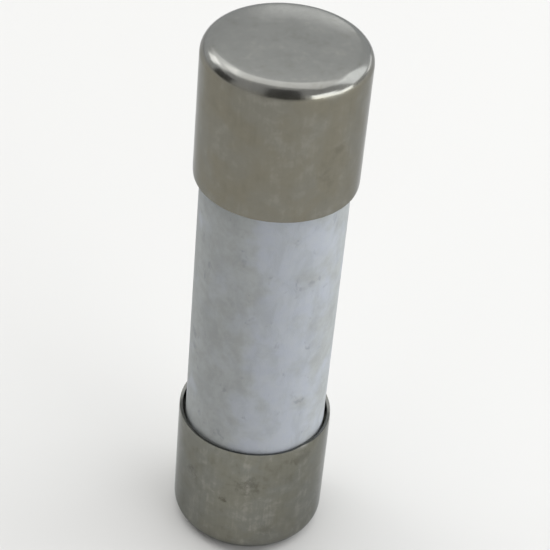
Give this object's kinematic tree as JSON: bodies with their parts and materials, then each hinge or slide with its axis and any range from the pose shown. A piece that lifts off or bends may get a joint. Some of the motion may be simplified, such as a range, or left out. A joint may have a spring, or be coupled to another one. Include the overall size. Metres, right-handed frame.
{
  "type": "cartridge fuse",
  "caption": "Cylindrical cartridge fuse: a ceramic tube with a drawn metal contact cap over each end, holding a notched fuse strip in quartz sand.",
  "frame": {"origin": "centre of the lower end face, which the fuse stands on", "axes": "+Z along the fuse's axis, from the lower contact cap to the upper one; +X across the width of the fuse strip, which lies in the plane y = 0"},
  "size_m": [0.0104, 0.0104, 0.038],
  "materials": {
    "ceramic": "satin",
    "nickel_plated_brass": "satin",
    "plated_steel": "satin",
    "fibre_board": "matte",
    "solder": "satin",
    "silvered_copper": "satin",
    "sand": "matte"
  },
  "bodies": {
    "root": {"ceramic_tube": "ceramic", "lower_contact_cap": "nickel_plated_brass", "upper_contact_cap": "nickel_plated_brass", "lower_inner_cap": "plated_steel", "upper_inner_cap": "plated_steel", "lower_sand_washer": "fibre_board", "upper_sand_washer": "fibre_board", "lower_solder_film": "solder", "upper_solder_film": "solder", "fuse_strip": "silvered_copper", "tin_overlay": "solder", "quartz_sand": "sand"}
  },
  "joints": []
}
